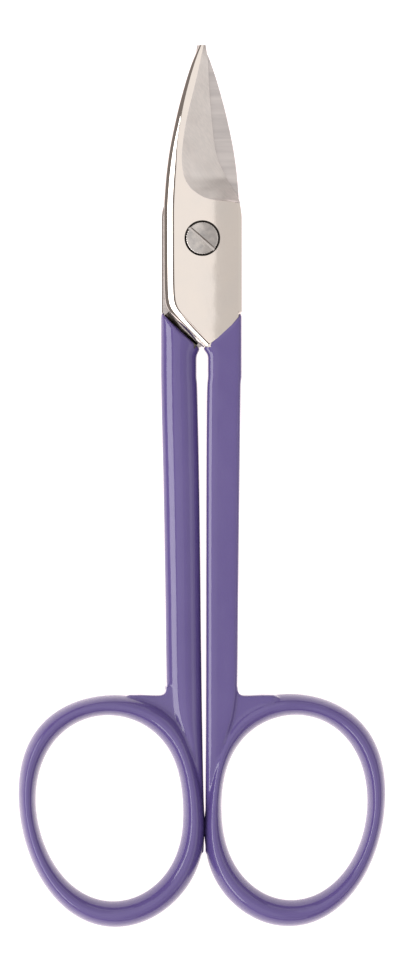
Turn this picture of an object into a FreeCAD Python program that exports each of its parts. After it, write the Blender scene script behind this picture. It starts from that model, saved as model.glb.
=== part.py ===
"""Nail scissors: two forged steel halves, a slotted pivot screw and two coated handles.

The scissors lie closed and flat. The blades point along +Y, +Z is up, and the origin is on
the pivot axis at the outer face of the rear half. Millimetres.
"""
import FreeCAD, Part
import Sketcher
import math
import os

V = FreeCAD.Vector
doc = FreeCAD.newDocument("nail_scissors")

# ---------------------------------------------------------------- driving dimensions
SIZES = [
    ("half_thick", 2.25, "thickness of one half at the joint"),
    ("joint_gap", 0.06, "air between the two halves"),
    ("joint_wide", 4.68, "from the pivot to the joint plate's edge, on the shank's side"),
    ("spine_wide", 4.45, "from the pivot to the spine"),
    ("corner_y", 7.6, "where the plate's straight side ends, below the pivot"),
    ("neck_x", 0.14, "plate's lowest corner, across"),
    ("neck_y", 12.95, "plate's lowest corner, below the pivot"),
    ("tip_thick", 0.55, "thickness at the blade's tip"),
    ("coat_thick", 0.38, "thickness of the handle's coating"),
    ("coat_start", 1.15, "bare steel left between the joint's edge and the coating"),
    ("shank_drop", 1.75, "depth of the shank's round side below the inner face"),
    ("shank_round", 1.7, "rounding of the shank's inner side"),
    ("shank_edge", 0.4, "rounding of the shank's outer face"),
    ("ring_bevel", 0.6, "bevel of the finger ring's bar, across"),
    ("screw_head_dia", 4.0, "screw head"),
    ("recess_dia", 4.24, "recess for the screw head"),
    ("recess_deep", 1.1, "depth of the recess"),
    ("head_lift", 0.04, "air under the screw head"),
    ("head_crown", 0.16, "height of the head's dome above the front face"),
    ("journal_dia", 2.5, "plain part of the screw that the front half turns on"),
    ("journal_gap", 0.04, "running clearance round the journal"),
    ("screw_thread_dia", 2.2, "threaded end of the screw"),
    ("thread_gap", 0.02, "clearance round the threaded end"),
    ("slot_wide", 0.5, "screwdriver slot"),
    ("slot_deep", 0.42, "depth of the slot"),
    ("slot_turn", -41.0, "direction of the slot"),
    ("knurl_count", 36.0, "ribs round the screw head"),
    ("knurl_deep", 0.07, "depth of the grooves between the ribs"),
]

sheet = doc.addObject("Spreadsheet::Sheet", "sizes")
for row, (alias, value, meaning) in enumerate(SIZES, start=1):
    sheet.set(f"A{row}", alias)
    sheet.set(f"B{row}", str(value))
    sheet.set(f"C{row}", meaning)
    sheet.setAlias(f"B{row}", alias)
doc.recompute()

half_thick = sheet.half_thick
joint_gap = sheet.joint_gap
stack = 2 * half_thick + joint_gap
front_inner_z = half_thick + joint_gap
coat = sheet.coat_thick

# ---------------------------------------------------------------- blade and joint
# Sections of the front half from the tip down. Each gives its place along Y, the spine's and
# the cutting edge's distance from the pivot line, where the ground face meets the flat, the
# thickness, and the height of the cutting edge's own thin wall.
TIP_Y = 23.09
BLADE = [
    # y, spine, edge, grind, thickness share, wall share
    (TIP_Y, 0.35, 0.50, 0.28, 0.0, 0.12),
    (18.9, 1.78, 0.87, -0.62, 0.26, 0.07),
    (14.1, 3.04, 1.24, -1.81, 0.62, 0.02),
    (9.6, 3.90, 1.90, -2.44, 0.92, 0.0),
    (7.4, 4.16, 2.90, -2.20, 1.0, 0.03),
    (6.2, 4.28, 3.56, -1.57, 1.0, 0.22),
    (5.2, 4.36, 4.12, -0.42, 1.0, 0.52),
    (4.5, 4.41, 4.42, 1.00, 1.0, 0.75),
    (4.1, 4.43, 4.50, 4.18, 1.0, 0.86),
    (3.0, 4.45, 4.68, 4.36, 1.0, 0.86),
]
THIN_WALL = 0.14
SPINE_BEVEL_WIDE = 1.4
SPINE_BEVEL_TIP = 0.42


def origin_plane(body, role):
    """One of a body's own origin planes."""
    return next(f for f in body.Origin.OriginFeatures if f.Role == role)


def add_sketch(body, name, role="XY_Plane", offset=0.0):
    """An empty sketch on one of the body's origin planes, shifted along the plane's normal."""
    sketch = body.newObject("Sketcher::SketchObject", name)
    sketch.AttachmentSupport = (origin_plane(body, role), [""])
    sketch.MapMode = "FlatFace"
    sketch.AttachmentOffset = FreeCAD.Placement(V(0, 0, offset), FreeCAD.Rotation())
    return sketch


def place_point(sketch, geometry, corner, x, y):
    """Fix one corner of a line by its distances from the sketch's origin."""
    for kind, value in (("DistanceX", x), ("DistanceY", y)):
        if abs(value) < 1e-9:
            axis = -2 if kind == "DistanceX" else -1
            sketch.addConstraint(Sketcher.Constraint("PointOnObject", geometry, corner, axis))
        else:
            sketch.addConstraint(Sketcher.Constraint(kind, -1, 1, geometry, corner, value))


def add_polygon(sketch, points):
    """A closed outline of straight lines with every corner placed."""
    lines = []
    for start, end in zip(points, points[1:] + points[:1]):
        lines.append(sketch.addGeometry(Part.LineSegment(V(*start, 0), V(*end, 0)), False))
    for line, following in zip(lines, lines[1:] + lines[:1]):
        sketch.addConstraint(Sketcher.Constraint("Coincident", line, 2, following, 1))
    for line, (x, y) in zip(lines, points):
        place_point(sketch, line, 1, x, y)


def add_closed_curve(sketch, points):
    """A smooth closed outline through a few points."""
    curve = Part.BSplineCurve()
    curve.interpolate(Points=[V(x, y, 0) for x, y in points], PeriodicFlag=True)
    sketch.addGeometry(curve, False)


def add_circle(sketch, diameter):
    """A circle on the pivot axis whose diameter is bound to an expression."""
    circle = sketch.addGeometry(Part.Circle(V(0, 0, 0), V(0, 0, 1), 1.0), False)
    sketch.addConstraint(Sketcher.Constraint("Coincident", circle, 3, -1, 1))
    index = sketch.addConstraint(Sketcher.Constraint("Diameter", circle, 2.0))
    sketch.setExpression(f"Constraints[{index}]", diameter)


def blade_section(spine, edge, grind, thick_share, wall_share):
    """The seven corners of one cross-section, inner face at z = 0."""
    thick = sheet.tip_thick + (half_thick - sheet.tip_thick) * thick_share
    wide_share = spine / sheet.spine_wide
    bevel = SPINE_BEVEL_TIP + (SPINE_BEVEL_WIDE - SPINE_BEVEL_TIP) * wide_share ** 2
    bevel = min(bevel, 0.8 * (grind + spine))
    wall = THIN_WALL + (half_thick - THIN_WALL) * wall_share
    return [
        (-spine, 0.0),
        (edge, 0.0),
        (edge, wall),
        (grind, thick),
        (-spine + bevel, thick),
        (-spine + 0.43 * bevel, thick - 0.24 * bevel),
        (-spine, thick - 0.7 * bevel),
    ]


def add_blade(body):
    """Blade and joint plate: one ruled loft from the tip to below the joint."""
    sections = list(BLADE)
    sections.append((-sheet.neck_y - sheet.coat_start - 2.0,) + BLADE[-1][1:])
    sketches = []
    for number, (y, *shape) in enumerate(sections):
        # the XZ plane's normal points along -Y
        sketch = add_sketch(body, f"blade_section_{number}", "XZ_Plane", -y)
        add_polygon(sketch, blade_section(*shape))
        sketches.append(sketch)
    add_loft(body, "blade_loft", sketches)


# ---------------------------------------------------------------- handles
# Each handle in its own half's frame, where the ring lies towards +X. The rings' outlines are
# eight points about the ring's centre, counter-clockwise from +X. The shank is given by its
# inner and outer sides at a few places along Y.
HANDLES = {
    "front": {
        "centre": (11.13, -67.65),
        "hole": [
            (8.65, 0.0), (7.0, 7.05), (0.0, 10.95), (-7.0, 7.0),
            (-8.7, 0.0), (-6.95, -7.1), (0.0, -11.05), (6.65, -6.65),
        ],
        "outside": [
            (10.8, 0.0), (8.9, 8.9), (0.0, 13.5), (-8.3, 9.6),
            (-10.66, 0.0), (-9.1, -9.3), (0.0, -14.2), (8.3, -8.3),
        ],
        "shank": [
            (-9.0, 0.8, 4.72), (-14.6, 0.72, 4.66), (-30.0, 0.53, 4.47),
            (-54.0, 0.5, 4.2), (-62.5, 0.48, 2.7), (-67.0, 0.85, 1.95),
        ],
    },
    "rear": {
        "centre": (10.95, -67.65),
        "hole": [
            (8.7, 0.0), (7.1, 7.1), (0.0, 10.95), (-7.0, 7.0),
            (-8.75, 0.0), (-7.15, -7.2), (0.0, -11.1), (6.6, -6.6),
        ],
        "outside": [
            (10.75, 0.0), (8.9, 8.9), (0.0, 13.4), (-8.6, 9.6),
            (-11.28, 0.0), (-9.35, -9.35), (0.0, -14.2), (8.25, -8.25),
        ],
        "shank": [
            (-9.0, 0.66, 4.9), (-14.6, 0.58, 4.82), (-30.0, 0.24, 4.5),
            (-54.0, -0.06, 4.12), (-62.5, -0.24, 2.4), (-67.0, 0.1, 1.7),
        ],
    },
}


def coat_line():
    """The slanted line where the coating starts, from the outer side to the inner side."""
    first_y = -sheet.corner_y - sheet.coat_start
    last_y = -sheet.neck_y - 0.1
    middle = (2.82, 0.5 * (first_y + last_y) - 0.1)
    outer = (sheet.joint_wide, first_y)
    inner = (sheet.neck_x, last_y)
    return [(6.0, first_y + 1.3), outer, middle, inner, (-2.0, last_y - 1.5)]


def grow(points, centre, amount):
    """Points about a centre, moved out by an amount."""
    moved = []
    for x, y in points:
        scale = 1 + amount / (x * x + y * y) ** 0.5
        moved.append((centre[0] + x * scale, centre[1] + y * scale))
    return moved


def ring_sketches(body, handle, outline, inset, sign):
    """Copies of one ring outline up the bar's height, drawn in towards the bar's middle at the
    top and the bottom so that the bar's corners are bevelled."""
    low = -front_inner_z + inset
    tall = stack - 2 * inset
    slope = 0.27 * stack
    bevel = sheet.ring_bevel - 0.5 * inset
    levels = [(low, bevel), (low + slope, 0.0), (low + tall - slope, 0.0), (low + tall, bevel)]
    sketches = []
    for number, (z, drawn_in) in enumerate(levels):
        sketch = add_sketch(body, f"ring_{outline}_{number}", "XY_Plane", z)
        add_closed_curve(sketch, grow(handle[outline], handle["centre"], sign * (inset + drawn_in)))
        sketches.append(sketch)
    return sketches


def add_ring(body, handle, inset):
    """The finger ring: a bar between two closed curves, centred in the stack."""
    add_loft(body, "ring_outside", ring_sketches(body, handle, "outside", inset, -1))
    add_loft(body, "ring_hole", ring_sketches(body, handle, "hole", inset, 1), "Subtractive")


def shank_section(inner, outer, inset):
    """D-shaped section: the flat outer face is up and the round side is down."""
    top = half_thick - inset
    low = -sheet.shank_drop + inset
    side = low + sheet.shank_round
    inner += inset
    outer -= inset
    wide = outer - inner
    edge = min(sheet.shank_edge, 0.25 * wide)
    return [
        (inner + 0.3 * wide, low),
        (outer - 0.3 * wide, low),
        (outer, side),
        (outer, top - edge),
        (outer - edge, top),
        (inner + edge, top),
        (inner, top - edge),
        (inner, side),
    ]


def add_shank(body, handle, inset):
    """The shank: a ruled loft of D sections from the joint down into the ring."""
    sketches = []
    for number, (y, inner, outer) in enumerate(handle["shank"]):
        sketch = add_sketch(body, f"shank_section_{number}", "XZ_Plane", -y)
        add_polygon(sketch, shank_section(inner, outer, inset))
        sketches.append(sketch)
    add_loft(body, "shank_loft", sketches)


def add_loft(body, name, sketches, kind="Additive"):
    """A ruled loft through sketches, added to the body or taken out of it."""
    doc.recompute()
    loft = body.newObject(f"PartDesign::{kind}Loft", name)
    loft.Profile = sketches[0]
    loft.Sections = sketches[1:]
    loft.Ruled = True
    doc.recompute()


def cut(body, sketch, name, length=None, midplane=False):
    """Cut a sketch out of the body and make sure that something goes."""
    before = body.Shape.Volume
    pocket = body.newObject("PartDesign::Pocket", name)
    pocket.Profile = sketch
    if length is None:
        pocket.Type = "ThroughAll"
        pocket.Midplane = midplane
    else:
        pocket.setExpression("Length", length)
    doc.recompute()
    if body.Shape.Volume > before - 1e-6:
        raise RuntimeError(f"{body.Label}: {name} cuts nothing")
    return pocket


def trim_stop_edge(body):
    """Cut the joint plate's lower inner corner away along the slanted stop edge."""
    wide = sheet.spine_wide
    corner = sheet.corner_y
    neck_x = sheet.neck_x
    neck_y = sheet.neck_y
    far = neck_y + 6.0
    sketch = add_sketch(body, "stop_edge")
    add_polygon(sketch, [
        (-wide - 2.0, -corner),
        (-wide, -corner),
        (-wide + 0.8, -corner - 1.5),
        (neck_x, -neck_y),
        (neck_x, -far),
        (-wide - 2.0, -far),
    ])
    cut(body, sketch, "stop_cut", midplane=True)


def trim_plate_end(body):
    """End the full-thickness plate where the coating starts."""
    line = coat_line()
    far = -sheet.neck_y - 8.0
    sketch = add_sketch(body, "plate_end")
    add_polygon(sketch, line + [(line[-1][0], far), (line[0][0], far)])
    cut(body, sketch, "plate_end_cut", midplane=True)


def trim_above_coat(body, both_ways):
    """Take away what lies above the coating's line, or only what lies below the inner face."""
    line = coat_line()
    sketch = add_sketch(body, "coat_start_line")
    add_polygon(sketch, line + [(line[-1][0], 0.0), (line[0][0], 0.0)])
    cut(body, sketch, "coat_start_cut", midplane=both_ways)


def make_handle_form(side, name, inset):
    """A shank and ring: the coated outside, or with an inset the steel core inside it."""
    body = doc.addObject("PartDesign::Body", f"{side}_{name}")
    add_ring(body, HANDLES[side], inset)
    add_shank(body, HANDLES[side], inset)
    trim_above_coat(body, both_ways=inset == 0)
    return body


def make_cylinder(name, diameter, low):
    """A round cutter on the pivot axis, up past the outer face from a level."""
    cylinder = doc.addObject("Part::Cylinder", name)
    cylinder.setExpression("Radius", f"({diameter}) / 2")
    cylinder.Height = 2 * half_thick
    cylinder.Placement = FreeCAD.Placement(V(0, 0, low), FreeCAD.Rotation())
    return cylinder


def make_half(side, cutters):
    """One forged half: blade and joint plate in one piece with the handle's steel core."""
    blade = doc.addObject("PartDesign::Body", f"{side}_blade")
    add_blade(blade)
    trim_stop_edge(blade)
    trim_plate_end(blade)
    core = make_handle_form(side, "core", coat)
    forging = doc.addObject("Part::Fuse", f"{side}_forging")
    forging.Base = blade
    forging.Tool = core
    for cutter in cutters:
        drilled = doc.addObject("Part::Cut", f"{side}_half")
        drilled.Base = forging
        drilled.Tool = cutter
        forging.Label = f"{side}_half_before_{cutter.Label}"
        forging = drilled
    forging.Label = f"{side}_half"
    return forging


def make_coating(side, form, half):
    """The coating: the handle's outside less the steel inside it."""
    coating = doc.addObject("Part::Cut", f"{side}_handle_coating")
    coating.Base = form
    coating.Tool = half
    return coating


# ---------------------------------------------------------------- pivot screw
def add_disc(body, name, diameter, length, offset):
    """A round pad on the pivot axis. The diameter and length are expressions."""
    sketch = add_sketch(body, name + "_circle", "XY_Plane", offset)
    add_circle(sketch, diameter)
    pad = body.newObject("PartDesign::Pad", name)
    pad.Profile = sketch
    pad.setExpression("Length", length)
    doc.recompute()
    return pad


def make_screw():
    """Shoulder screw with a crowned, knurled, slotted head sunk in the front half."""
    body = doc.addObject("PartDesign::Body", "pivot_screw")
    head_z = stack - sheet.recess_deep + sheet.head_lift
    crown_z = stack + sheet.head_crown
    add_disc(body, "thread", "sizes.screw_thread_dia", "sizes.half_thick", 0.0)
    add_disc(
        body, "journal", "sizes.journal_dia",
        "sizes.half_thick + sizes.joint_gap - sizes.recess_deep + sizes.head_lift", half_thick,
    )
    head = add_disc(
        body, "head", "sizes.screw_head_dia",
        "sizes.recess_deep - sizes.head_lift + sizes.head_crown", head_z,
    )
    crown = body.newObject("PartDesign::Fillet", "crown")
    crown.Base = (head, [
        f"Edge{i}" for i, edge in enumerate(head.Shape.Edges, start=1)
        if edge.BoundBox.ZMin > crown_z - 1e-4
    ])
    crown.setExpression("Radius", "sizes.head_crown * 2.5")
    doc.recompute()
    cut_knurl(body, crown_z)
    cut_slot(body, crown_z)
    return body


def cut_knurl(body, top):
    """Grooves between the ribs round the head: one cut, repeated round the axis."""
    rim = sheet.screw_head_dia / 2
    half_step = math.pi * rim / sheet.knurl_count
    sketch = add_sketch(body, "knurl_groove", "XY_Plane", top)
    add_polygon(sketch, [
        (rim - sheet.knurl_deep, 0.0),
        (rim + 0.1, -0.7 * half_step),
        (rim + 0.1, 0.7 * half_step),
    ])
    groove = cut(body, sketch, "knurl_cut", "sizes.recess_deep - sizes.head_lift + sizes.head_crown")
    pattern = body.newObject("PartDesign::PolarPattern", "knurl")
    pattern.Originals = [groove]
    pattern.Axis = (sketch, ["N_Axis"])
    pattern.Angle = 360
    pattern.setExpression("Occurrences", "sizes.knurl_count")
    body.Tip = pattern
    doc.recompute()


def cut_slot(body, top):
    """The screwdriver slot across the head."""
    sketch = add_sketch(body, "slot_outline", "XY_Plane", top)
    turn = FreeCAD.Rotation(V(0, 0, 1), sheet.slot_turn)
    sketch.AttachmentOffset = FreeCAD.Placement(V(0, 0, top), turn)
    reach = sheet.screw_head_dia
    half_wide = sheet.slot_wide / 2
    add_polygon(sketch, [
        (-reach, -half_wide), (reach, -half_wide), (reach, half_wide), (-reach, half_wide),
    ])
    cut(body, sketch, "slot", "sizes.slot_deep")


# ---------------------------------------------------------------- assembly
front = make_half("front", [
    make_cylinder("screw_recess", "sizes.recess_dia", half_thick - sheet.recess_deep),
    make_cylinder("journal_hole", "sizes.journal_dia + 2 * sizes.journal_gap", -half_thick / 2),
])
rear = make_half("rear", [
    make_cylinder("thread_hole", "sizes.screw_thread_dia + 2 * sizes.thread_gap", -half_thick / 2),
])
front_form = make_handle_form("front", "handle_form", 0.0)
rear_form = make_handle_form("rear", "handle_form", 0.0)

for piece in (front, front_form):
    piece.Placement = FreeCAD.Placement(V(0, 0, front_inner_z), FreeCAD.Rotation())
for piece in (rear, rear_form):
    piece.Placement = FreeCAD.Placement(V(0, 0, half_thick), FreeCAD.Rotation(V(0, 1, 0), 180))

nodes = [
    front,
    rear,
    make_screw(),
    make_coating("front", front_form, front),
    make_coating("rear", rear_form, rear),
]
doc.recompute()

for item in doc.Objects:
    if {"Invalid", "Error"} & set(item.State):
        raise RuntimeError(f"{item.Label} failed: {item.State}")
for node in nodes:
    if node.Shape.isNull() or not node.Shape.isValid():
        raise RuntimeError(f"{node.Label} has no valid shape")
    if len(node.Shape.Solids) != 1:
        raise RuntimeError(f"{node.Label} has {len(node.Shape.Solids)} solids")

os.makedirs("parts", exist_ok=True)
for node in nodes:
    node.Shape.exportStep(f"parts/{node.Label}.step")
    box = node.Shape.BoundBox
    print(f"{node.Label}: {node.Shape.Volume:.2f} mm3, z {box.ZMin:.3f} to {box.ZMax:.3f}")
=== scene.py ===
"""Nail scissors with coated handles: the looks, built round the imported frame."""

import math

import bpy
import bmesh
import numpy as np
from mathutils import Matrix, Vector


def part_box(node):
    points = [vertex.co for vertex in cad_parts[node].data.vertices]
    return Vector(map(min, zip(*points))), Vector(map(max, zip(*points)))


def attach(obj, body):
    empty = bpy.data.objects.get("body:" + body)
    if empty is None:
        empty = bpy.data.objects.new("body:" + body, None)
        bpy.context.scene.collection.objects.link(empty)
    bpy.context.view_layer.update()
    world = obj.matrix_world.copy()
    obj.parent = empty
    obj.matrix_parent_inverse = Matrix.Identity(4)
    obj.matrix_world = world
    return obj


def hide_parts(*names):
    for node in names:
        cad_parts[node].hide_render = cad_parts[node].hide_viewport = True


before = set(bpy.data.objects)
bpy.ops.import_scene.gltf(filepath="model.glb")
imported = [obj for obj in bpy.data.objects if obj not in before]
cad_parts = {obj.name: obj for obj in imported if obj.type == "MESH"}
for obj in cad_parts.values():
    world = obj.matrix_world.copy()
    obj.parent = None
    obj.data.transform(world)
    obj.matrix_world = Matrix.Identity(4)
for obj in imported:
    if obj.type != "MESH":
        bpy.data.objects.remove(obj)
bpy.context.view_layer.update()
MM = 0.001

# ---------------------------------------------------------------- sizes, in millimetres
# Each half is described in its own frame: inner face at z = 0, outer face at z = HALF,
# finger ring towards +X. GAP is the air between the two inner faces.
FRONT_INNER_FACE = 2.31
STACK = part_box("front_handle_coating")[1].z / MM
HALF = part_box("front_half")[1].z / MM - FRONT_INNER_FACE
GAP = STACK - 2 * HALF
MID = STACK / 2
TIP_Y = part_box("front_half")[1].y / MM

# Neck, where the plate's slanted lower edge ends in the slit between the shanks
NECK = (0.14, -12.95)
NECK_CLEAR = 0.02
STOP_SPREAD = 1.13
CORNER_ROUND = 0.9
LAST_SECTION = -12.92

# Start of the coating, as (x, y) from the neck to the plate's outer corner
COAT_LINE = [(0.14, -13.05), (2.82, -11.0), (4.72, -8.7)]
COAT_TOP = COAT_LINE[-1][1]

# Pivot: recess for the screw's head, hole for its journal, hole for its thread
RECESS_R = 2.12
RECESS_DEEP = 1.1
JOURNAL_R = 1.29
THREAD_R = 1.12

# Blade and plate against y: spine, cutting edge, edge of the ground face, thickness, and
# height of the thin wall at the cutting edge. The row at -20 carries the last value on.
PLATE_EDGE_X = 4.70
SPINE = [(23.09, 0.26), (21.2, 1.05), (18.9, 1.83), (14.1, 3.12), (9.6, 4.00), (6.2, 4.38), (3.0, 4.55),
         (-20, 4.55)]
EDGE = [(23.09, 0.50), (21.0, 0.79), (18.9, 0.88), (14.1, 1.24), (11.0, 1.60), (9.6, 1.92), (7.8, 2.72),
        (6.2, 3.56), (5.2, 4.12), (4.6, 4.40), (3.9, 4.52), (3.2, 4.63), (2.4, PLATE_EDGE_X),
        (-20, PLATE_EDGE_X)]
GRIND = [(23.09, 0.26), (18.9, -0.66), (14.1, -1.83), (11.5, -2.27), (9.4, -2.44), (7.5, -2.20),
         (6.2, -1.57), (5.2, -0.42), (4.62, 0.95), (4.25, 3.95), (3.7, 4.18), (2.4, 4.30), (-20, 4.30)]
THICK = [(23.09, 0.55), (18.9, 0.99), (14.1, 1.60), (9.6, 2.11), (7.0, 2.24), (6.0, 2.25), (-20, 2.25)]
WALL = [(23.09, 0.36), (18.9, 0.28), (14.1, 0.17), (9.6, 0.14), (7.5, 0.22), (6.2, 0.62), (5.2, 1.25),
        (4.6, 1.74), (4.2, 1.98), (3.5, 2.05), (-20, 2.05)]
GROUND_END_Y = 4.15

# Small chamfer under the cutting side: on the plate, and on the blade above CHAMFER_Y
PLATE_CHAMFER, BLADE_CHAMFER = 0.12, 0.01
CHAMFER_Y = 4.0

# Sections of a half: the step to the next one, above each height
SECTION_STEPS = [(8.5, 0.45), (2.0, 0.12), (-6.6, 0.8), (-20, 0.12)]

# Spine bevel, from the edge inwards: width and slope in degrees of each facet at the joint.
# The steep facets and the shallow ones shrink towards the tip by their own shares.
STEEP_FACETS = [(0.02, 68), (0.03, 55), (0.35, 43), (0.03, 37), (0.03, 32)]
SHALLOW_FACETS = [(0.50, 28), (0.02, 36), (0.14, 43), (0.05, 22), (0.03, 8)]
STEEP_SHARE = [(23.09, 0.40), (20.4, 0.60), (17.4, 0.75), (13.0, 1.0), (-20, 1.0)]
SHALLOW_SHARE = [(23.09, 0.08), (16.0, 0.14), (12.9, 0.24), (10.5, 0.55), (8.2, 0.85), (3.0, 1.0), (-20, 1.0)]

# Rise of the inner face beside the coating: (distance from the coating, z), then its buried
# back, and how much wider it is away from the neck
FLARE = [(0.36, 0.0), (0.26, -0.04), (0.18, -0.12), (0.11, -0.28), (0.06, -0.55), (0.02, -1.0), (0.0, -1.3),
         (-0.5, -1.3), (-0.5, 0.3), (0.36, 0.3)]
FLARE_FROM, FLARE_TO = 4.4, 0.6
FLARE_SPREAD = ([0.6, 2.8], [1.0, 1.8])

# Handles: ring outlines every 45 degrees about the ring's centre, and the shank's inner and
# outer sides against y.
HANDLES = {
    "front": {
        "centre": (11.13, -67.65),
        "hole": [(8.65, 0.0), (7.0, 7.05), (0.0, 10.95), (-7.0, 7.0),
                 (-8.7, 0.0), (-6.95, -7.1), (0.0, -11.05), (6.65, -6.65)],
        "outside": [(10.8, 0.0), (8.9, 8.9), (0.0, 13.5), (-8.3, 9.6),
                    (-10.66, 0.0), (-9.1, -9.3), (0.0, -14.2), (8.3, -8.3)],
        "inner": [(-8.0, 0.80), (-14.6, 0.72), (-19.0, 0.60), (-30.0, 0.53), (-54.0, 0.50), (-65.0, 0.47),
                  (-73.0, 0.46)],
        "outer": [(-8.0, 4.78), (-14.6, 4.66), (-30.0, 4.47), (-43.0, 4.32), (-53.5, 4.2), (-56.0, 3.95),
                  (-61.0, 2.6), (-68.0, 1.6), (-73.0, 1.5)],
    },
    "rear": {
        "centre": (10.95, -67.65),
        "hole": [(8.7, 0.0), (7.1, 7.1), (0.0, 10.95), (-7.0, 7.0),
                 (-8.75, 0.0), (-7.15, -7.2), (0.0, -11.1), (6.6, -6.6)],
        "outside": [(10.75, 0.0), (8.9, 8.9), (0.0, 13.4), (-8.6, 9.6),
                    (-11.28, 0.0), (-9.35, -9.35), (0.0, -14.2), (8.25, -8.25)],
        "inner": [(-8.0, 0.66), (-14.6, 0.56), (-19.0, 0.44), (-30.0, 0.22), (-54.0, -0.06), (-65.0, -0.25),
                  (-70.0, -0.39), (-73.0, -0.28)],
        "outer": [(-8.0, 4.80), (-14.6, 4.80), (-30.0, 4.50), (-43.0, 4.28), (-53.5, 4.12), (-56.0, 3.9),
                  (-61.0, 2.3), (-68.0, 1.0), (-73.0, 0.9)],
    },
}
MID_LOCAL = -GAP / 2

# Ring's section: how square its bar is across and in height
RING_ACROSS, RING_UP = 0.95, 1.35

# Shank's section: flat face just proud of the steel, back below it in soft facets, as
# (share of the width, share of the height), and the corners beside the flat face, as
# (distance in, drop)
FACE_LIP = 0.05
SHANK_DROP = 1.75
SIDE_DROP = 0.95
BELT_SHARE = 0.35
FULL_CORNER_WIDE = 2.4
SHANK_BACK = [(0.0, 0.0), (0.03, 0.30), (0.10, 0.58), (0.34, 0.94), (0.44, 1.0), (0.54, 1.0), (0.64, 0.94),
              (0.87, 0.57), (0.95, 0.34), (1.0, 0.0)]
OUTER_ROUND = [(0.0, 0.75), (0.03, 0.45), (0.12, 0.22), (0.26, 0.08), (0.42, 0.02), (0.6, 0.0)]
INNER_BEVEL = [(0.95, 0.0), (0.76, 0.01), (0.62, 0.06), (0.18, 0.30), (0.06, 0.50), (0.0, 0.8)]

# Shank's length: slanted start with a rounded lip, straight run, and an end that sinks into
# the ring
SHANK_START = [(0.14, -13.05), (2.82, -11.0), (4.72, -8.75)]
START_LIP = [(0.0, 0.16), (0.02, 0.06), (0.06, 0.0)]
START_INNER_Y, START_OUTER_Y, START_END_Y = -14.0, -11.0, -16.5
NECK_BLEND = 0.33
RUN_START, SHANK_END = -17.2, -73.0
SINK = [(-60.0, 0.0), (-66.0, 0.75), (-73.0, 1.5)]

# Web between a shank's outer side and the ring's top: outline, and (z, share of its size)
WEB = [(2.0, -53.0), (4.12, -53.0), (4.14, -53.5), (4.25, -53.85), (4.48, -54.12), (4.85, -54.26),
       (5.6, -54.27), (7.2, -54.2), (8.6, -54.22), (9.4, -54.6), (8.0, -55.2), (5.0, -57.2), (2.9, -60.4),
       (1.6, -60.4)]
WEB_LEVELS = [(-1.15, 0.84), (-0.8, 1.0), (1.35, 1.0), (1.75, 0.94), (1.95, 0.80)]

# Pivot screw: knurled rim, and a slot with one slanted wall
HEAD_R = 2.0
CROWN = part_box("pivot_screw")[1].z / MM
KNURL_RIBS = 40
KNURL_DEEP = 0.07
SLOT_TURN = -41.0
SLOT_WIDE = 0.56
SLOT_SLANT = 0.13
SLOT_FLOOR = CROWN - 0.42
# (radius, z, share of the knurl) from the crown down to the thread's end
SCREW_PROFILE = [
    (0.35, CROWN, 0), (0.8, CROWN - 0.012, 0), (1.2, CROWN - 0.03, 0), (1.5, CROWN - 0.05, 0),
    (1.7, CROWN - 0.072, 0), (1.82, CROWN - 0.10, 0), (1.88, CROWN - 0.13, 0.3),
    (1.95, CROWN - 0.19, 0.9), (HEAD_R, CROWN - 0.27, 1), (HEAD_R, 3.52, 1), (1.9, 3.50, 0),
    (1.25, 3.50, 0), (1.25, HALF, 0), (1.1, HALF, 0), (1.1, 0.12, 0), (1.0, 0.0, 0), (0.3, 0.0, 0),
]


# ---------------------------------------------------------------- curves and meshes
def smooth(table, at):
    """Monotone cubic through (position, value) rows, at one position or many."""
    rows = sorted(table)
    xs = np.array([r[0] for r in rows], float)
    ys = np.array([r[1] for r in rows], float)
    steps = np.diff(xs)
    slopes = np.diff(ys) / steps
    tangents = np.zeros(len(xs))
    tangents[0], tangents[-1] = slopes[0], slopes[-1]
    for i in range(1, len(xs) - 1):
        if slopes[i - 1] * slopes[i] > 0:
            w1 = 2 * steps[i] + steps[i - 1]
            w2 = steps[i] + 2 * steps[i - 1]
            tangents[i] = (w1 + w2) / (w1 / slopes[i - 1] + w2 / slopes[i])
    at = np.clip(np.atleast_1d(np.asarray(at, float)), xs[0], xs[-1])
    i = np.clip(np.searchsorted(xs, at, side="right") - 1, 0, len(steps) - 1)
    t = (at - xs[i]) / steps[i]
    value = (
        ys[i] * (2 * t ** 3 - 3 * t ** 2 + 1) + tangents[i] * steps[i] * (t ** 3 - 2 * t ** 2 + t)
        + ys[i + 1] * (3 * t ** 2 - 2 * t ** 3) + tangents[i + 1] * steps[i] * (t ** 3 - t ** 2)
    )
    return value if len(value) > 1 else float(value[0])


def straight(table, at):
    """The value at one position on straight runs between (position, value) rows."""
    return float(np.interp(at, [r[0] for r in table], [r[1] for r in table]))


def closed_spline(points, count):
    """A smooth closed curve through evenly spaced points (trigonometric interpolation)."""
    values = np.array([complex(x, y) for x, y in points])
    terms = np.fft.fft(values) / len(values)
    orders = np.fft.fftfreq(len(values), 1 / len(values))
    turn = np.linspace(0, 2 * math.pi, count, endpoint=False)
    curve = np.zeros(count, complex)
    for term, order in zip(terms, orders):
        if abs(order) == len(values) / 2:
            curve += term * np.cos(order * turn)
        else:
            curve += term * np.exp(1j * order * turn)
    return np.column_stack([curve.real, curve.imag])


def soft_max(a, b, radius):
    """The larger of two numbers, with the corner between them rounded."""
    return 0.5 * (a + b + math.sqrt((a - b) ** 2 + radius ** 2))


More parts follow.
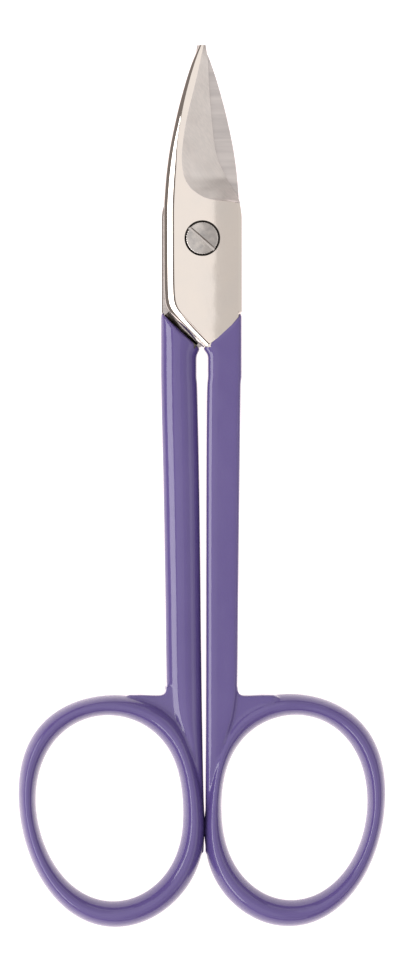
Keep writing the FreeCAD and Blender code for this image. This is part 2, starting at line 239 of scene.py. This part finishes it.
def loft(name, loops, closed=False):
    """A closed skin through loops of points: capped at both ends, or joined end to end."""
    mesh = bpy.data.meshes.new(name)
    size = len(loops[0])
    points = [tuple(c * MM for c in p) for ring in loops for p in ring]
    faces = []
    spans = len(loops) if closed else len(loops) - 1
    for i in range(spans):
        low = i * size
        high = ((i + 1) % len(loops)) * size
        for j in range(size):
            k = (j + 1) % size
            faces.append((low + j, low + k, high + k, high + j))
    if not closed:
        faces.append(tuple(reversed(range(size))))
        faces.append(tuple(range((len(loops) - 1) * size, len(loops) * size)))
    mesh.from_pydata(points, [], faces)
    return mesh


def add_object(name, mesh):
    """Put a mesh in the scene, with its faces turned outwards."""
    form = bmesh.new()
    form.from_mesh(mesh)
    bmesh.ops.recalc_face_normals(form, faces=form.faces)
    form.to_mesh(mesh)
    form.free()
    thing = bpy.data.objects.new(name, mesh)
    bpy.context.scene.collection.objects.link(thing)
    return thing


def make_disc(name, radius, low, high, sides=96):
    """A round cutter on the pivot axis."""
    turns = np.linspace(0, 2 * math.pi, sides, endpoint=False)
    loops = [[(radius * math.cos(t), radius * math.sin(t), z) for t in turns] for z in (low, high)]
    return add_object(name, loft(name, loops))


def join(thing, others):
    """Add other objects' meshes to one object and drop them."""
    form = bmesh.new()
    form.from_mesh(thing.data)
    for other in others:
        form.from_mesh(other.data)
        bpy.data.objects.remove(other)
    form.to_mesh(thing.data)
    form.free()


def apply_modifiers(thing):
    """Turn an object's modifiers into plain mesh."""
    graph = bpy.context.evaluated_depsgraph_get()
    mesh = bpy.data.meshes.new_from_object(
        thing.evaluated_get(graph), preserve_all_data_layers=True, depsgraph=graph)
    thing.modifiers.clear()
    old = thing.data
    thing.data = mesh
    bpy.data.meshes.remove(old)


def combine(thing, other, operation):
    """Cut another object's volume away from an object, or melt it in, and drop the other."""
    boolean = thing.modifiers.new("combine", "BOOLEAN")
    boolean.operation = operation
    boolean.solver = "EXACT"
    boolean.object = other
    apply_modifiers(thing)
    bpy.data.objects.remove(other)


def shade(thing, angle):
    """Smooth shading, with edges sharper than an angle in degrees kept crisp."""
    form = bmesh.new()
    form.from_mesh(thing.data)
    for face in form.faces:
        face.smooth = True
    for edge in form.edges:
        edge.smooth = len(edge.link_faces) == 2 and edge.calc_face_angle(0) < math.radians(angle)
    form.to_mesh(thing.data)
    form.free()
    weighted = thing.modifiers.new("even_normals", "WEIGHTED_NORMAL")
    weighted.keep_sharp = True
    weighted.weight = 100


def turned(points, side):
    """Points of a half's own frame in the scissors' frame: the rear half is turned over."""
    if side == "front":
        return [(x, y, z + HALF + GAP) for x, y, z in points]
    return [(-x, y, HALF - z) for x, y, z in points]


def settle(piece, body, node):
    """Put a finished piece on the body it rides on, and hide the imported part it stands in for."""
    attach(piece, body)
    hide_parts(node)


# ---------------------------------------------------------------- materials
NICKEL = (0.640, 0.590, 0.545, 1)
NICKEL_WARM = (0.665, 0.605, 0.550, 1)
NICKEL_DULL = (0.560, 0.525, 0.500, 1)
SATIN = (0.610, 0.565, 0.535, 1)
INNER_DARK = (0.43, 0.40, 0.39, 1)
INNER_PALE = (0.56, 0.52, 0.50, 1)
HEAD_DARK = (0.34, 0.325, 0.315, 1)
HEAD_PALE = (0.50, 0.465, 0.435, 1)
# Painted shade: dark steel colours for the rise beside the coating, the screw's recess and the slot's walls
PAINTED_SHADE_DARK = (0.040, 0.034, 0.029, 1)
PAINTED_SHADE_PALE = (0.11, 0.098, 0.088, 1)
PURPLE = (0.098, 0.068, 0.222, 1)
PURPLE_DEEP = (0.086, 0.058, 0.206, 1)
PAPER_GLOW = (1.0, 0.90, 0.91, 1)


def new_material(name, metallic=0.0):
    """A node material and its shader."""
    material = bpy.data.materials.new(name)
    material.use_nodes = True
    shader = material.node_tree.nodes["Principled BSDF"]
    shader.inputs["Metallic"].default_value = metallic
    return material, material.node_tree, shader


def add_noise(tree, scale, stretch=(1, 1, 1), detail=4.0, turn=0.0):
    """Noise in the object's own space. The scale is in cells per millimetre."""
    nodes, links = tree.nodes, tree.links
    where = nodes.new("ShaderNodeTexCoord")
    mapping = nodes.new("ShaderNodeMapping")
    mapping.vector_type = "TEXTURE"
    mapping.inputs["Rotation"].default_value = (0, 0, math.radians(turn))
    mapping.inputs["Scale"].default_value = [MM / s for s in stretch]
    noise = nodes.new("ShaderNodeTexNoise")
    noise.inputs["Scale"].default_value = scale
    noise.inputs["Detail"].default_value = detail
    links.new(where.outputs["Object"], mapping.inputs["Vector"])
    links.new(mapping.outputs["Vector"], noise.inputs["Vector"])
    return noise.outputs["Fac"]


def add_ramp(tree, value, socket, low, high, start=0.3, end=0.7):
    """Drive a shader's socket between two colours or two greys."""
    ramp = tree.nodes.new("ShaderNodeValToRGB")
    for element, position, colour in zip(ramp.color_ramp.elements, (start, end), (low, high)):
        element.position = position
        element.color = colour if isinstance(colour, tuple) else (colour, colour, colour, 1)
    tree.links.new(value, ramp.inputs["Fac"])
    tree.links.new(ramp.outputs["Color"], socket)


def add_bumps(tree, socket, layers):
    """Stack height maps on a normal socket: (value, depth in millimetres) each."""
    last = None
    for value, depth in layers:
        bump = tree.nodes.new("ShaderNodeBump")
        bump.inputs["Strength"].default_value = 1.0
        bump.inputs["Distance"].default_value = depth * MM
        tree.links.new(value, bump.inputs["Height"])
        if last is not None:
            tree.links.new(last, bump.inputs["Normal"])
        last = bump.outputs["Normal"]
    tree.links.new(last, socket)


def polished_steel():
    """Mirror-polished nickel with faint buffing lines and a slight waviness."""
    material, tree, shader = new_material("polished_steel", metallic=1.0)
    cloud = add_noise(tree, 0.35, detail=2.0)
    add_ramp(tree, cloud, shader.inputs["Base Color"], NICKEL_WARM, NICKEL)
    lines = add_noise(tree, 3.0, stretch=(6.0, 0.25, 6.0), detail=3.0, turn=6.0)
    add_ramp(tree, lines, shader.inputs["Roughness"], 0.014, 0.045)
    waves = add_noise(tree, 0.22, detail=1.0)
    add_bumps(tree, shader.inputs["Normal"], [(waves, 0.003), (lines, 0.00003)])
    return material


def ground_steel():
    """The satin face that the blade is ground to, with lines that run round the wheel's arc."""
    material, tree, shader = new_material("ground_steel", metallic=1.0)
    cloud = add_noise(tree, 0.5, detail=3.0)
    lines = add_noise(tree, 1.6, stretch=(4.0, 0.16, 4.0), detail=6.0, turn=38.0)
    add_ramp(tree, lines, shader.inputs["Base Color"], NICKEL_DULL, SATIN, 0.38, 0.62)
    add_ramp(tree, cloud, shader.inputs["Roughness"], 0.30, 0.42)
    grain = add_noise(tree, 9.0, detail=3.0)
    add_bumps(tree, shader.inputs["Normal"], [(lines, 0.0016), (grain, 0.0008)])
    return material


def inner_steel():
    """The inner face, ground straight across the blade."""
    material, tree, shader = new_material("inner_steel", metallic=1.0)
    bands = add_noise(tree, 0.8, stretch=(0.12, 1.6, 1.0), detail=4.0)
    add_ramp(tree, bands, shader.inputs["Base Color"], INNER_DARK, INNER_PALE)
    lines = add_noise(tree, 2.2, stretch=(0.25, 6.0, 5.0), detail=5.0, turn=3.0)
    add_ramp(tree, lines, shader.inputs["Roughness"], 0.28, 0.45)
    add_bumps(tree, shader.inputs["Normal"], [(bands, 0.004), (lines, 0.0012)])
    return material


def screw_steel():
    """Polished screw head with fine turning and handling marks."""
    material, tree, shader = new_material("screw_steel", metallic=1.0)
    cloud = add_noise(tree, 1.1, detail=3.0)
    add_ramp(tree, cloud, shader.inputs["Base Color"], HEAD_DARK, HEAD_PALE)
    marks = add_noise(tree, 4.0, stretch=(1.0, 3.0, 1.0), detail=5.0, turn=30.0)
    add_ramp(tree, marks, shader.inputs["Roughness"], 0.10, 0.22)
    add_bumps(tree, shader.inputs["Normal"], [(cloud, 0.010), (marks, 0.0006)])
    return material


def painted_shade_steel():
    """Painted shade: dark rough steel laid on the rise beside the coating, in the recess and on the slot's walls,
    where shade falls.
    """
    material, tree, shader = new_material("painted_shade_steel", metallic=1.0)
    shade_mottle = add_noise(tree, 2.5, detail=4.0)
    add_ramp(tree, shade_mottle, shader.inputs["Base Color"], PAINTED_SHADE_DARK, PAINTED_SHADE_PALE)
    add_ramp(tree, shade_mottle, shader.inputs["Roughness"], 0.50, 0.32)
    add_bumps(tree, shader.inputs["Normal"], [(shade_mottle, 0.003)])
    return material


def purple_coating():
    """Thick glossy dipped coating: slightly wavy, with a clear skin over the colour."""
    material, tree, shader = new_material("purple_coating")
    cloud = add_noise(tree, 0.12, detail=2.0)
    add_ramp(tree, cloud, shader.inputs["Base Color"], PURPLE_DEEP, PURPLE)
    smudge = add_noise(tree, 0.6, detail=4.0)
    add_ramp(tree, smudge, shader.inputs["Roughness"], 0.30, 0.42)
    shader.inputs["IOR"].default_value = 1.48
    shader.inputs["Specular IOR Level"].default_value = 0.15
    shader.inputs["Subsurface Weight"].default_value = 0.06
    shader.inputs["Subsurface Radius"].default_value = (0.4 * MM, 0.3 * MM, 0.8 * MM)
    shader.inputs["Subsurface Scale"].default_value = 1.0
    shader.inputs["Coat Weight"].default_value = 1.0
    shader.inputs["Coat Roughness"].default_value = 0.06
    shader.inputs["Coat IOR"].default_value = 1.5
    ripples = add_noise(tree, 0.28, detail=1.0)
    grain = add_noise(tree, 3.2, detail=2.0)
    add_bumps(tree, shader.inputs["Normal"], [(ripples, 0.014), (grain, 0.0010)])
    add_bumps(tree, shader.inputs["Coat Normal"], [(ripples, 0.014), (grain, 0.0005)])
    return material


def floor_paper():
    """Plain white table top, lit from within, with the faintest paper grain."""
    material, tree, shader = new_material("floor_paper")
    grain = add_noise(tree, 0.4, detail=4.0)
    add_ramp(tree, grain, shader.inputs["Base Color"], 0.30, 0.33)
    shader.inputs["Roughness"].default_value = 0.9
    shader.inputs["Emission Color"].default_value = PAPER_GLOW
    shader.inputs["Emission Strength"].default_value = 1.1
    return material


# The fourth blade material is painted shade; the screw's slot walls use it too
BLADE_MATERIALS = [polished_steel(), ground_steel(), inner_steel(), painted_shade_steel()]
GROUND, INNER, PAINTED_SHADE = 1, 2, 3
HEAD_MATERIALS = [screw_steel(), BLADE_MATERIALS[PAINTED_SHADE], BLADE_MATERIALS[GROUND]]
SLOT_WALL, SLOT_BOTTOM = 1, 2
COATING = purple_coating()


# ---------------------------------------------------------------- steel halves
def coat_x(y):
    """The coating's start line at a height y."""
    return straight([(y_at, x_at) for x_at, y_at in COAT_LINE], y)


def coat_y(x):
    """The coating's start line at a place x."""
    return straight(COAT_LINE, x)


def bevel_steps(y):
    """The spine bevel's corners: distance in from the edge and depth below the outer face."""
    facets = [(wide * smooth(STEEP_SHARE, y), slope) for wide, slope in STEEP_FACETS]
    facets += [(wide * smooth(SHALLOW_SHARE, y), slope) for wide, slope in SHALLOW_FACETS]
    drops = [wide * math.tan(math.radians(slope)) for wide, slope in facets]
    steps = [(0.0, sum(drops))]
    for (wide, _), drop in zip(facets, drops):
        steps.append((steps[-1][0] + wide, steps[-1][1] - drop))
    return steps


def half_section(y):
    """One cross-section of a half: the corner points from the spine's foot round the top."""
    spine, edge, grind, thick, wall = [smooth(table, y) for table in (SPINE, EDGE, GRIND, THICK, WALL)]
    stop_edge = NECK[0] - (y - NECK[1]) - NECK_CLEAR
    if y < COAT_TOP:
        # under the coating, the cutting side and the ground face are tucked in
        tuck = min(1.0, (COAT_TOP - y) / 0.6)
        edge = min(edge - 0.3 * tuck, coat_x(y) + 0.9 * tuck)
        grind = min(grind, coat_x(y) + 0.08, edge - 0.05)
        wall -= 0.9 * tuck
    room = edge - 0.05
    points = []
    for inward, depth in bevel_steps(y):
        x = min(soft_max(inward - spine, stop_edge + STOP_SPREAD * inward, CORNER_ROUND), room)
        points.append((x, thick - depth))
    foot = points[0][0]
    points.insert(0, (foot, 0.03))
    flat_start = points[-1][0]
    for share in (0.12, 0.35, 0.62, 0.85):
        points.append((flat_start + (grind - flat_start) * share, thick))
    points.append((grind, thick))
    for share in (0.05, 0.3, 0.6, 0.9):
        points.append((grind + (edge - grind) * share, thick + (wall - thick) * share))
    points.append((edge, wall))
    lip = PLATE_CHAMFER if y < CHAMFER_Y else BLADE_CHAMFER
    points.append((edge, 0.83 * lip))
    points.append((edge - lip, 0.0))
    for share in (0.25, 0.5, 0.75):
        points.append((edge - lip + (foot + 0.03 - edge + lip) * share, 0.0))
    points.append((foot + 0.03, 0.0))
    return [(x, y, z) for x, z in points]


def half_levels():
    """Where the half is cut into sections: closer together where its outline turns."""
    levels = [TIP_Y - 0.02]
    y = TIP_Y - 0.2
    while y > LAST_SECTION:
        levels.append(y)
        y -= next(step for above, step in SECTION_STEPS if y > above)
    return levels


def flare_loops():
    """The inner face's rise into the handle, beside the coating's start."""
    loops = []
    for x in np.linspace(FLARE_FROM, FLARE_TO, 24):
        y = coat_y(x)
        rise = min(1.0, 0.25 + (FLARE_FROM - x) / 1.2)
        slope = (coat_y(x + 0.1) - coat_y(x - 0.1)) / 0.2
        length = math.hypot(1.0, slope)
        reach = float(np.interp(x, *FLARE_SPREAD))
        ring = []
        for away, z in FLARE:
            away *= reach if away > 0 else 1.0
            ring.append((x - away * slope / length, y + away / length, z * rise if z < 0 else z))
        loops.append(ring)
    return loops


def paint_half(half, side):
    """Share a half's faces out between the ground, inner and polished steel and the painted shade."""
    inner_z = HALF + GAP if side == "front" else HALF
    outer = 1 if side == "front" else -1
    for face in half.data.polygons:
        centre = face.center / MM
        rise = (centre.z - inner_z) * outer
        beyond_grind = centre.y > GROUND_END_Y and centre.x * outer > smooth(GRIND, centre.y)
        # faces that stand out of the inner face, the rise beside the coating, get painted shade
        if rise < -0.003:
            face.material_index = PAINTED_SHADE
        elif rise < 0.02:
            face.material_index = INNER
        elif beyond_grind and face.normal.z * outer > 0.2:
            face.material_index = GROUND


def make_half(side):
    """Blade and joint plate of one half, down to where the coating hides it."""
    sections = [turned(half_section(y), side) for y in half_levels()]
    half = add_object(f"{side}_blade", loft(f"{side}_blade", sections))
    flare = [turned(ring, side) for ring in flare_loops()]
    combine(half, add_object(f"{side}_flare", loft("flare", flare)), "UNION")
    for material in BLADE_MATERIALS:
        half.data.materials.append(material)
    paint_half(half, side)
    if side == "front":
        combine(half, make_disc("recess", RECESS_R, STACK - RECESS_DEEP, STACK + 1), "DIFFERENCE")
        combine(half, make_disc("journal_hole", JOURNAL_R, HALF - 1, STACK + 1), "DIFFERENCE")
        # painted shade on the walls and floor of the recess and in the journal hole
        for face in half.data.polygons:
            centre = face.center / MM
            if centre.z < STACK - 0.03 and centre.xy.length < RECESS_R + 0.01:
                face.material_index = PAINTED_SHADE
    else:
        combine(half, make_disc("thread_hole", THREAD_R, -1, HALF + GAP / 2), "DIFFERENCE")
    shade(half, 9)
    settle(half, side, f"{side}_half")


# ---------------------------------------------------------------- pivot screw
def make_slot():
    """The cutter for the screw's slot: a bar with one slanted wall."""
    mesh = bpy.data.meshes.new("slot")
    form = bmesh.new()
    bmesh.ops.create_cube(form, size=1.0)
    tall = 2 * (CROWN - SLOT_FLOOR)
    bmesh.ops.scale(form, vec=(6 * MM, SLOT_WIDE * MM, tall * MM), verts=form.verts)
    for vertex in form.verts:
        if vertex.co.z < 0 and vertex.co.y > 0:
            vertex.co.y -= 2 * SLOT_SLANT * MM
    bmesh.ops.rotate(form, matrix=Matrix.Rotation(math.radians(SLOT_TURN), 3, "Z"), verts=form.verts)
    bmesh.ops.translate(form, vec=(0, 0, CROWN * MM), verts=form.verts)
    form.to_mesh(mesh)
    form.free()
    return add_object("slot", mesh)


def make_screw():
    """Crowned head with a knurled rim and a slot, journal and threaded end, turned as one."""
    count = KNURL_RIBS * 6
    loops = []
    for radius, z, knurl in SCREW_PROFILE:
        ring = []
        for i in range(count):
            turn = 2 * math.pi * i / count
            rib = 0.5 - 0.5 * math.cos(KNURL_RIBS * turn)
            r = radius - KNURL_DEEP * knurl * rib ** 1.5
            ring.append((r * math.cos(turn), r * math.sin(turn), z))
        loops.append(ring)
    screw = add_object("screw", loft("screw", loops))
    screw.data.materials.append(HEAD_MATERIALS[0])
    combine(screw, make_slot(), "DIFFERENCE")
    for material in HEAD_MATERIALS[1:]:
        screw.data.materials.append(material)
    for face in screw.data.polygons:
        centre = face.center / MM
        # the slot's walls get painted shade; its bottom takes the ground steel
        if SLOT_FLOOR - 0.02 < centre.z < CROWN - 0.09 and centre.xy.length < 1.9:
            face.material_index = SLOT_BOTTOM if abs(face.normal.z) > 0.7 else SLOT_WALL
    shade(screw, 30)
    settle(screw, "rear", "pivot_screw")


# ---------------------------------------------------------------- coated handles
def ring_loops(handle):
    """Sections of a finger ring: a tall bar with a soft ridge along its top and bottom."""
    count = 220
    inside = closed_spline(handle["hole"], count)
    outside = closed_spline(handle["outside"], count)
    centre = np.array(handle["centre"])
    loops = []
    for near, far in zip(inside, outside):
        middle = (near + far) / 2
        reach = (far - near) / 2
        ring = []
        for turn in np.linspace(0, 2 * math.pi, 40, endpoint=False):
            across = math.copysign(abs(math.cos(turn)) ** RING_ACROSS, math.cos(turn))
            up = math.copysign(abs(math.sin(turn)) ** RING_UP, math.sin(turn))
            x, y = centre + middle + reach * across
            ring.append((x, y, (HALF - MID_LOCAL) * up + MID_LOCAL))
        loops.append(ring)
    return loops


def shank_outline(inner, outer, sink=0.0):
    """Section of the shank with its flat face up, as (x, z) points from the inner side."""
    wide = outer - inner
    top = HALF + FACE_LIP - sink
    low = -SHANK_DROP + 0.8 * sink
    belt = BELT_SHARE * (top - low) + low
    points = []
    for turn in np.linspace(math.pi, 2 * math.pi, 31):
        across = 0.5 + 0.5 * math.cos(turn)
        points.append((inner + wide * across, belt - (belt - low) * smooth(SHANK_BACK, across)))
    share = min(1.0, wide / FULL_CORNER_WIDE)
    points.append((outer, top - SIDE_DROP))
    for inward, drop in OUTER_ROUND:
        points.append((outer - inward * share, top - drop))
    for inward, drop in INNER_BEVEL:
        points.append((inner + inward * share, top - drop))
    points.append((inner, top - SIDE_DROP))
    return points


def shank_loops(handle):
    """Sections of a shank from the slanted start of the coating into the ring."""
    loops = []
    for share, less in START_LIP + [(share, 0.0) for share in np.linspace(0.1, 1.0, 10)]:
        ring = []
        inner = smooth(handle["inner"], START_INNER_Y)
        inner -= (inner - NECK[0]) * max(0.0, 1 - share / NECK_BLEND)
        for x, z in shank_outline(inner + less, smooth(handle["outer"], START_OUTER_Y) - less):
            z = z - less if z > 0 else z + less
            start = straight(SHANK_START, x)
            ring.append((x, start + (START_END_Y - start) * share, z))
        loops.append(ring)
    for y in np.linspace(RUN_START, SHANK_END, 66):
        outline = shank_outline(smooth(handle["inner"], y), smooth(handle["outer"], y), smooth(SINK, y))
        loops.append([(x, y, z) for x, z in outline])
    return loops


def web_loops():
    """The web that fills the notch between a shank's outer side and the ring's top."""
    middle = np.mean(WEB, axis=0)
    loops = []
    for z, shrink in WEB_LEVELS:
        loops.append([(*(middle + (np.array(p) - middle) * shrink), z) for p in WEB])
    return loops


def make_handle(side):
    """Shank and ring under one coating, melted together where they meet."""
    handle = HANDLES[side]
    shank = add_object(f"{side}_handle", loft("shank", [turned(r, side) for r in shank_loops(handle)]))
    ring = add_object(f"{side}_ring", loft("ring", [turned(r, side) for r in ring_loops(handle)], closed=True))
    web = add_object(f"{side}_web", loft("web", [turned(r, side) for r in web_loops()]))
    join(shank, [ring, web])
    remesh = shank.modifiers.new("melt", "REMESH")
    remesh.mode = "VOXEL"
    remesh.voxel_size = 0.12 * MM
    soften = shank.modifiers.new("soften", "SMOOTH")
    soften.factor = 0.5
    soften.iterations = 7
    apply_modifiers(shank)
    shank.data.materials.clear()
    shank.data.materials.append(COATING)
    for face in shank.data.polygons:
        face.use_smooth = True
    settle(shank, side, f"{side}_handle_coating")


# ---------------------------------------------------------------- stage
# Camera: long lens that looks straight down and leans a little from the left
VIEW_TALL = 115.7
LENS = 200.0
SENSOR = 36.0
AWAY = VIEW_TALL * LENS / SENSOR
AIM = (0.14, -29.4, MID)
TILT = math.radians(3.0)
CAMERA_X = AIM[0] - AWAY * math.sin(TILT)

# Two ceiling lights: (width, depth, brightness). The border between them shows in the
# plate's flat at BORDER_X.
CEILING = 340.0
BORDER_X = 1.24
CEILING_LEFT = (300, 900, 1.01)
CEILING_RIGHT = (420, 900, 0.58)

# Softboxes: name, place, size, brightness
SOFTBOXES = [
    ("softbox_left", (-430, -150, 290), (900, 200), 4.6),
    ("softbox_right", (430, -30, 300), (900, 300), 0.62),
    ("softbox_far", (60, 520, 260), (500, 200), 0.9),
    ("softbox_near", (-60, -620, 260), (500, 200), 0.9),
]
SOFTBOX_AIM = (0, -30, 0)
WORLD_COLOUR = (1.0, 0.90, 0.86, 1)
WORLD_BRIGHTNESS = 0.30
FLOOR_HALF = 1500
FLOOR_Z = -0.02


def make_camera():
    """The scene's camera, at the photograph's viewing angle."""
    data = bpy.data.cameras.new("camera")
    data.lens = LENS
    data.sensor_width = SENSOR
    data.clip_start = 0.01
    data.clip_end = 10.0
    camera = bpy.data.objects.new("camera", data)
    bpy.context.scene.collection.objects.link(camera)
    camera.location = Vector((CAMERA_X, AIM[1], AIM[2] + AWAY * math.cos(TILT))) * MM
    camera.rotation_euler = (0, -TILT, 0)
    bpy.context.scene.camera = camera


def add_light(name, place, size, radiance, aim):
    """A soft rectangular light, given by how bright its surface is."""
    data = bpy.data.lights.new(name, "AREA")
    data.shape = "RECTANGLE"
    data.size = size[0] * MM
    data.size_y = size[1] * MM
    data.energy = radiance * math.pi * data.size * data.size_y
    light = bpy.data.objects.new(name, data)
    light.location = Vector(place) * MM
    way = (Vector(aim) - Vector(place)).normalized()
    if abs(way.z) < 0.999:
        light.rotation_euler = way.to_track_quat("-Z", "Y").to_euler()
    bpy.context.scene.collection.objects.link(light)


def make_floor():
    """The white table top."""
    mesh = bpy.data.meshes.new("floor")
    half = FLOOR_HALF * MM
    mesh.from_pydata([(-half, -half, 0), (half, -half, 0), (half, half, 0), (-half, half, 0)], [], [(0, 1, 2, 3)])
    mesh.materials.append(floor_paper())
    floor = bpy.data.objects.new("floor", mesh)
    floor.location.z = FLOOR_Z * MM
    bpy.context.scene.collection.objects.link(floor)


def make_lights():
    """Dim walls, a two-part ceiling and softboxes round the table."""
    world = bpy.data.worlds.new("studio")
    world.use_nodes = True
    background = world.node_tree.nodes["Background"]
    background.inputs["Color"].default_value = WORLD_COLOUR
    background.inputs["Strength"].default_value = WORLD_BRIGHTNESS
    bpy.context.scene.world = world
    border = BORDER_X + (BORDER_X - CAMERA_X) * CEILING / AWAY
    for name, light, way, height in (("ceiling_left", CEILING_LEFT, -1, CEILING),
                                     ("ceiling_right", CEILING_RIGHT, 1, CEILING + 2)):
        wide, deep, radiance = light
        x = border + way * wide / 2
        add_light(name, (x, -30, height), (wide, deep), radiance, aim=(x, -30, 0))
    for name, place, size, radiance in SOFTBOXES:
        add_light(name, place, size, radiance, SOFTBOX_AIM)


for side in ("front", "rear"):
    make_half(side)
    make_handle(side)
make_screw()
make_floor()
make_lights()
make_camera()
bpy.context.scene.view_settings.view_transform = "Standard"
